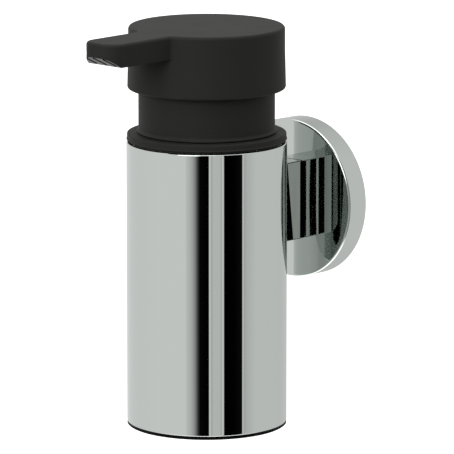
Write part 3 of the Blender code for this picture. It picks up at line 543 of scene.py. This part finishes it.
ring_low, ring_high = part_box("flange_ring")
ring_hole = neck + 0.0003
ring_side = ring_high.x - 0.0002
bead_foot = ring_low.z + 0.0006
bead_top = bead_foot + 0.0003
ring_outline = [
    (ring_hole, ring_low.z, 0),
    (ring_high.x - 0.0008, ring_low.z, 0),
    (ring_high.x - 0.0008, bead_foot, 0),
    (ring_high.x, bead_foot, 0.0001),
    (ring_high.x, bead_top, 0.0001),
    (ring_side, bead_top + 0.0002, 0),
    (ring_side, ring_high.z, 0.0005),
    (ring_hole, ring_high.z, 0.0003),
]
flange_ring = turned("flange_ring_moulded", ring_outline, axis_foot, (1, 0, 0), (0, 0, 1))
dress(flange_ring, "insert", "flange_ring", matt_black)

# --- Gasket and piston seal ---
# A flat ring between the collar and the bottle's rim, and the piston's two-lipped cup. Both are
# moulded from pale thermoplastic rubber and pressed in place by the parts round them.

# Thermoplastic rubber, moulded: dull and a little dusty, with no clear gloss.
soft_rubber, tree, shader = paint("pale_seal_rubber")
shader.inputs["Base Color"].default_value = linear("#C4C2BB")
shader.inputs["Roughness"].default_value = 0.62
dust = wear(tree, 1800)
skin = add(tree, "ShaderNodeBump", {"Height": dust.outputs["Fac"], "Distance": 0.00003, "Strength": 0.4})
tree.links.new(skin.outputs[0], shader.inputs["Normal"])
give(["gasket", "piston_seal"], soft_rubber)

# --- Pump ---
# Housing, ball cage, stem and delivery channel are injection moulded in white plastic and snapped
# together, with two steel balls as valves. The lock cap is black and the dip tube is natural.

# Smooth moulded polypropylene: a soft gloss that clouds a little where the melt flowed.
white_plastic, tree, shader = paint("moulded_white_polypropylene")
shader.inputs["Base Color"].default_value = linear("#E7E6E0")
cloud = wear(tree, 300)
rough = add(tree, "ShaderNodeMapRange", {"Value": cloud.outputs["Fac"], "To Min": 0.28, "To Max": 0.42})
tree.links.new(rough.outputs[0], shader.inputs["Roughness"])
give(["pump_housing", "ball_cage", "piston_stem", "delivery_channel"], white_plastic)
give(["lock_cap"], matt_black)
give(["dip_tube"], milky)
give(["inlet_ball", "outlet_ball"], turned_steel)

# --- Return spring ---
# Open coil of spring steel wire, wound cold, between the ball cage and the foot of the stem. It is
# shortened as the head goes down.
spring_low, spring_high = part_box("return_spring")
wire = 0.0004
spring_turns = 7
wire_sides = 16
round_wire = [tau * side / wire_sides for side in range(wire_sides)]
spring_section = [(wire * cos(angle), wire * sin(angle)) for angle in round_wire]
spring_radius = spring_high.x - wire
spring_start = spring_low.z + wire
spring_pitch = (spring_high.z - spring_low.z - 2 * wire) / spring_turns
spring = winding(
    "return_spring_wound", spring_section, spring_radius, spring_start, spring_pitch, spring_turns
)
# Spring wire, drawn through a die: bright, with a faint unevenness along it.
spring_wire, tree, shader = paint("bright_drawn_spring_wire")
shader.inputs["Base Color"].default_value = linear("#B5B4B0")
shader.inputs["Metallic"].default_value = 1
drawn = wear(tree, 900)
rough = add(tree, "ShaderNodeMapRange", {"Value": drawn.outputs["Fac"], "To Min": 0.18, "To Max": 0.3})
tree.links.new(rough.outputs[0], shader.inputs["Roughness"])
dress(spring, "pump", "return_spring", spring_wire, 60)
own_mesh(spring)

# --- Collar ---
# Black screw collar, injection moulded: a plain cylinder with a fine lip at its foot, and its deck sunk
# in the middle round the pump. It screws down on the bottle's neck to the ring.
collar_low, collar_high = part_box("closure_collar")
collar_radius = collar_high.x
collar_wall, deck = 0.0016, 0.0018
collar_inside = collar_radius - collar_wall
collar_lip = 0.0006
deck_under = collar_high.z - deck
well_floor = collar_high.z - 0.0026
well_radius = 0.013
well_hole = 0.008
collar_outline = [
    (well_hole, well_floor - deck, 0),
    (well_radius + deck, well_floor - deck, 0),
    (well_radius + deck, deck_under, 0),
    (collar_inside, deck_under, 0),
    (collar_inside, collar_low.z, 0.0003),
    (collar_radius + collar_lip, collar_low.z, 0.0002),
    (collar_radius + collar_lip, collar_low.z + 0.0004, 0.0002),
    (collar_radius, collar_low.z + 0.0011, 0.0003),
    (collar_radius, collar_high.z, 0.0007),
    (well_radius, collar_high.z, 0.0004),
    (well_radius, well_floor, 0),
    (well_hole, well_floor, 0),
]
collar = turned("collar_moulded", collar_outline, axis_foot, (1, 0, 0), (0, 0, 1))
dress(collar, "collar", "closure_collar", matt_black)

# --- Head ---
# Cap and spout, one black moulding: a slightly tapered round skirt that runs out into a level spout,
# hollow, cut back at a slant under its tip, with three slanted slots there for the soap.
head_low, head_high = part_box("pump_head")
head_foot_radius = 0.0271
head_top_radius = 0.02675
spout_half = 0.0079
spout_reach = tube_centre.y - head_low.y
spout_under = head_high.z - 0.008
tip_corner = 0.0055
root_corner = 0.0016


def block(low, high):
    """A box between two corners, as a cutter or to be joined on."""
    low, high = Vector(low), Vector(high)
    bpy.ops.object.select_all(action="DESELECT")
    bpy.ops.mesh.primitive_cube_add(size=1, location=(low + high) / 2)
    made = bpy.context.object
    made.scale = high - low
    bpy.ops.object.transform_apply()
    return made


def combine(piece, tool, operation):
    """A Boolean with a tool that is then thrown away."""
    change = piece.modifiers.new("change", "BOOLEAN")
    change.operation = operation
    change.solver = "EXACT"
    change.object = tool
    change.use_hole_tolerant = True
    pick(piece)
    bpy.ops.object.modifier_apply(modifier=change.name)
    bpy.data.objects.remove(tool)


def round_edges(piece, wanted, offset, segments):
    """Rounds the edges for which wanted(edge) is true."""
    pick(piece)
    bpy.ops.object.mode_set(mode="EDIT")
    bpy.ops.mesh.select_mode(type="EDGE")
    bpy.ops.mesh.select_all(action="DESELECT")
    shape = bmesh.from_edit_mesh(piece.data)
    for edge in shape.edges:
        edge.select_set(wanted(edge))
    bpy.ops.mesh.bevel(offset=offset, segments=segments, affect="EDGES")
    bpy.ops.object.mode_set(mode="OBJECT")


def go_round(centre, angle, steps):
    """Carries the outline's last point on along an arc."""
    spot = (centre[0], tube_centre.y + centre[1], head_high.z)
    bpy.ops.mesh.spin(steps=steps, angle=-angle, center=spot, axis=(0, 0, 1))


def go_on(step):
    """Carries the outline's last point on along a straight line."""
    bpy.ops.mesh.extrude_region_move(TRANSFORM_OT_translate={"value": step})


root_x = spout_half + root_corner
root_y = sqrt((head_top_radius + root_corner) ** 2 - root_x**2)
root_angle = atan2(root_y, root_x)
on_round = head_top_radius / (head_top_radius + root_corner)
start = (root_x * on_round, tube_centre.y - root_y * on_round, head_high.z)
bpy.ops.object.select_all(action="DESELECT")
bpy.ops.mesh.primitive_plane_add(size=0.001, location=start)
head = bpy.context.object
head.name = head.data.name = "pump_head_moulded"
bpy.ops.object.transform_apply()
bpy.ops.object.mode_set(mode="EDIT")
bpy.ops.mesh.select_mode(type="VERT")
bpy.ops.mesh.merge(type="CENTER")
side_length = spout_reach - tip_corner - root_y
go_round((0, 0), pi + 2 * root_angle, 160)
go_round((-root_x, -root_y), -root_angle, 10)
go_on((0, -side_length, 0))
go_round((tip_corner - spout_half, tip_corner - spout_reach), pi / 2, 16)
go_on((2 * (spout_half - tip_corner), 0, 0))
go_round((spout_half - tip_corner, tip_corner - spout_reach), pi / 2, 16)
go_on((0, side_length, 0))
go_round((root_x, -root_y), -root_angle, 10)
bpy.ops.mesh.select_all(action="SELECT")
bpy.ops.mesh.remove_doubles(threshold=1e-5)
bpy.ops.mesh.edge_face_add()
bpy.ops.mesh.select_mode(type="FACE")
bpy.ops.mesh.select_all(action="SELECT")
bpy.ops.mesh.extrude_region_move(TRANSFORM_OT_translate={"value": (0, 0, spout_under - head_high.z)})
bpy.ops.mesh.select_all(action="SELECT")
bpy.ops.mesh.normals_make_consistent(inside=False)
bpy.ops.object.mode_set(mode="OBJECT")


def level_at(height):
    """Picks the edges that lie on one level of the outline."""
    return lambda edge: all(abs(vert.co.z - height) < 1e-6 for vert in edge.verts)


top_rounding, under_rounding, foot_rounding = 0.0011, 0.00025, 0.0009
round_edges(head, level_at(head_high.z), top_rounding, 6)
round_edges(head, level_at(spout_under), under_rounding, 2)
skirt_top = spout_under + 0.001
bpy.ops.object.select_all(action="DESELECT")
bpy.ops.mesh.primitive_cone_add(
    vertices=192,
    radius1=head_foot_radius,
    radius2=head_top_radius - 0.00002,
    depth=skirt_top - head_low.z,
    location=(0, tube_centre.y, (skirt_top + head_low.z) / 2),
)
skirt = bpy.context.object
bpy.ops.object.transform_apply()
round_edges(skirt, level_at(head_low.z), foot_rounding, 5)
combine(head, skirt, "UNION")

head_wall = 0.002
ceiling = head_high.z - 0.0019
hollow_foot = head_low.z - 0.002
bpy.ops.object.select_all(action="DESELECT")
bpy.ops.mesh.primitive_cone_add(
    vertices=192,
    radius1=head_foot_radius - head_wall,
    radius2=head_top_radius - head_wall,
    depth=ceiling - hollow_foot,
    location=(0, tube_centre.y, (hollow_foot + ceiling) / 2),
)
hollow = bpy.context.object
bpy.ops.object.transform_apply()
combine(head, hollow, "DIFFERENCE")
spout_wall, spout_floor, tip_wall = 0.0018, 0.0015, 0.003
spout_hollow = block(
    (-spout_half + spout_wall, head_low.y + tip_wall, spout_under + spout_floor),
    (spout_half - spout_wall, tube_centre.y - 0.012, ceiling),
)
combine(head, spout_hollow, "DIFFERENCE")

cut_height, cut_depth = 0.0031, 0.0041
cut_slope = atan2(cut_height, cut_depth)
cut_middle = Vector((0, head_low.y + cut_depth / 2, spout_under + cut_height / 2))
tip_cut = block((-0.02, -0.006, -0.012), (0.02, 0.006, 0))
tip_cut.rotation_euler.x = -cut_slope
tip_cut.location = cut_middle
bpy.ops.object.transform_apply()
combine(head, tip_cut, "DIFFERENCE")
cut_normal = Vector((0, -sin(cut_slope), -cos(cut_slope)))


def on_cut(edge):
    """Picks the rim of the slanted cut."""
    return all(abs((vert.co - cut_middle).dot(cut_normal)) < 1e-6 for vert in edge.verts)


round_edges(head, on_cut, 0.0002, 2)
slot_pitch = 0.0046
slot_turn = radians(47)
for number in (-1, 0, 1):
    slot = block((-0.0029, -0.0007, -0.002), (0.0023, 0.0007, 0.003))
    slot.rotation_euler = (-cut_slope, 0, 0)
    slot.rotation_euler.rotate_axis("Z", slot_turn)
    slot.location = cut_middle + Vector((number * slot_pitch, 0, 0))
    bpy.ops.object.transform_apply()
    combine(head, slot, "DIFFERENCE")
dress(head, "head", "pump_head", matt_black, 30)
# The slanted face under the tip is left bright by a polished slide of the mould, so it mirrors light
# at a glancing look, unlike the matt grain round it.
mouth_gloss, tree, shader = paint("polished_black_mouth")
shader.inputs["Base Color"].default_value = linear("#1A1A1A")
film = wear(tree, 900)
rough = add(tree, "ShaderNodeMapRange", {"Value": film.outputs["Fac"], "To Min": 0.12, "To Max": 0.2})
tree.links.new(rough.outputs[0], shader.inputs["Roughness"])
head.data.materials.append(mouth_gloss)
for face in head.data.polygons:
    if face.normal.dot(cut_normal) > 0.99 and abs((face.center - cut_middle).dot(cut_normal)) < 0.0001:
        face.material_index = 1
